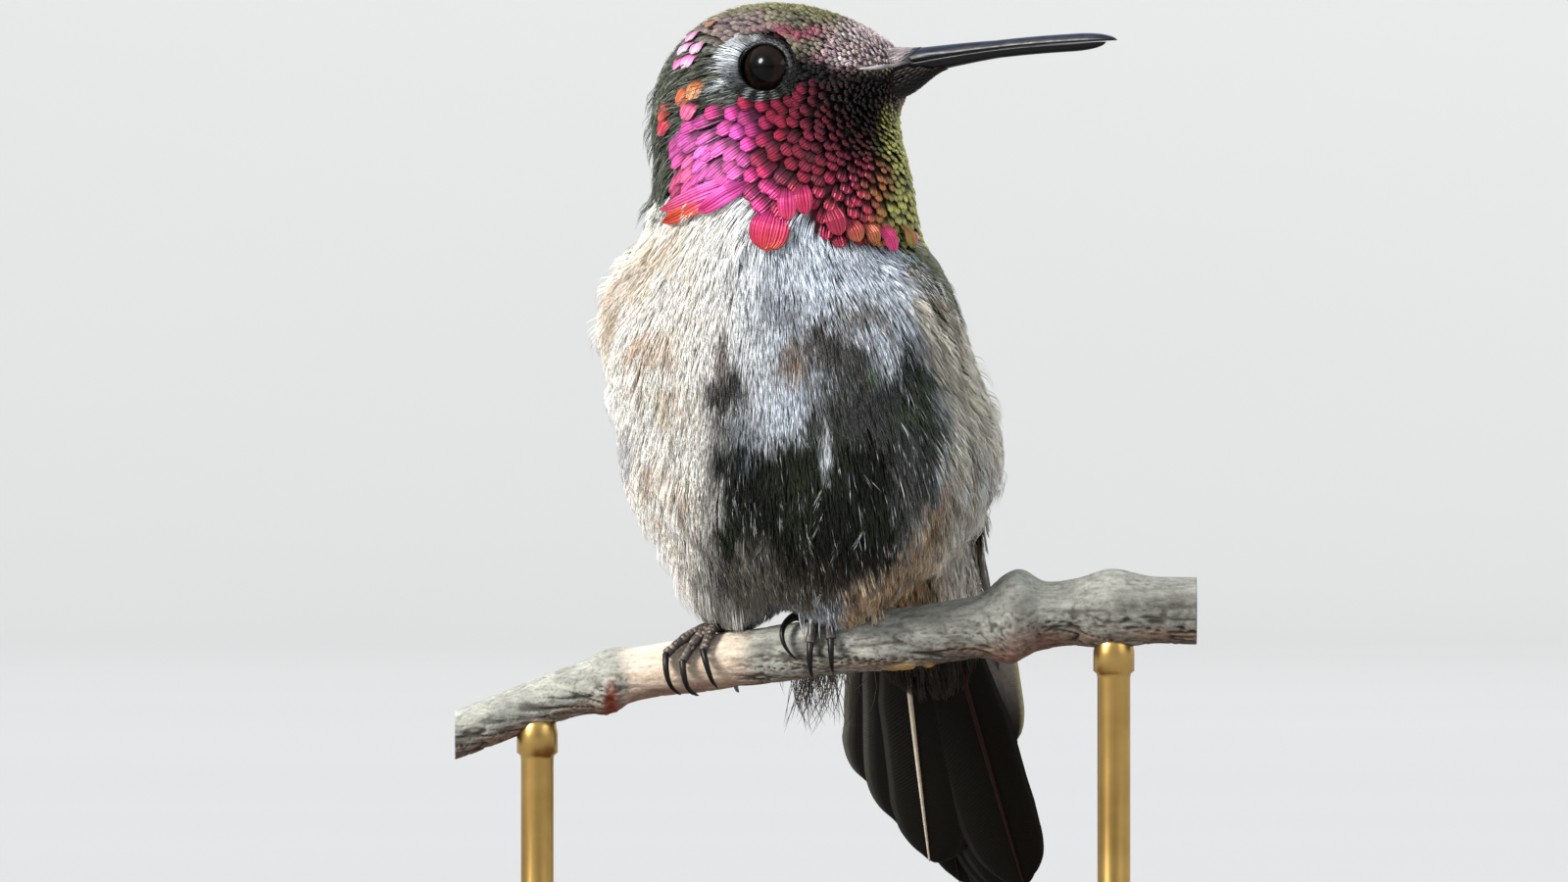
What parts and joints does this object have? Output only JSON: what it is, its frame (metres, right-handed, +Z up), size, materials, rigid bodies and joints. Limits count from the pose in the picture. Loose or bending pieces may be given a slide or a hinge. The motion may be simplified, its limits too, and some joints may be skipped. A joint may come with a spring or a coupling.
{
  "type": "hummingbird",
  "caption": "Life-size adult male hummingbird with a rose-red throat, perched on a cut twig held over a flat base by short rods, head turned far to its left.",
  "frame": {"origin": "centre of the stand base's underside, which is the centre of the bounding box's bottom", "axes": "+Z up; the stand's front faces -Y, and the breast faces -Y turned 24 degrees to the bird's right (-X); the head is turned 64 degrees to the bird's left, so the bill points towards +X"},
  "size_m": [0.066, 0.054, 0.0794],
  "materials": {
    "crown_feathers": "small scale-like feathers, grey-green to olive with rose tints",
    "throat_feathers": "iridescent scale-like feathers, rose-red to scarlet, dark towards the bill",
    "body_feathers": "soft hair-like feathers, white to grey on the breast, dark green-grey on the belly, bronze-green on the back",
    "tail_feathers": "near-black flight feathers with a faint sheen and pale shafts",
    "wing_feathers": "dusky grey-brown flight feathers under green coverts",
    "bill": "smooth black horn with a bluish sheen",
    "eye": "wet, near-black",
    "foot": "finely scaled grey-black skin",
    "claw": "smooth black horn",
    "bark": "rough grey bark, warm tan where it is worn, with knots",
    "stand_wood": "satin dark wood",
    "stand_metal": "satin brass"
  },
  "bodies": {
    "root": {"head": "crown_feathers", "neck": "throat_feathers", "trunk": "body_feathers", "tail": "tail_feathers", "wing_left": "wing_feathers", "wing_right": "wing_feathers", "bill_upper": "bill", "bill_lower": "bill", "eye_left": "eye", "eye_right": "eye", "shank_left": "foot", "shank_right": "foot", "foot_left": "foot", "foot_right": "foot", "claw_left_inner": "claw", "claw_left_middle": "claw", "claw_left_outer": "claw", "claw_left_hind": "claw", "claw_right_inner": "claw", "claw_right_middle": "claw", "claw_right_outer": "claw", "claw_right_hind": "claw", "perch": "bark", "stand_base": "stand_wood", "stand_rod_left": "stand_metal", "stand_rod_right": "stand_metal"}
  },
  "joints": []
}
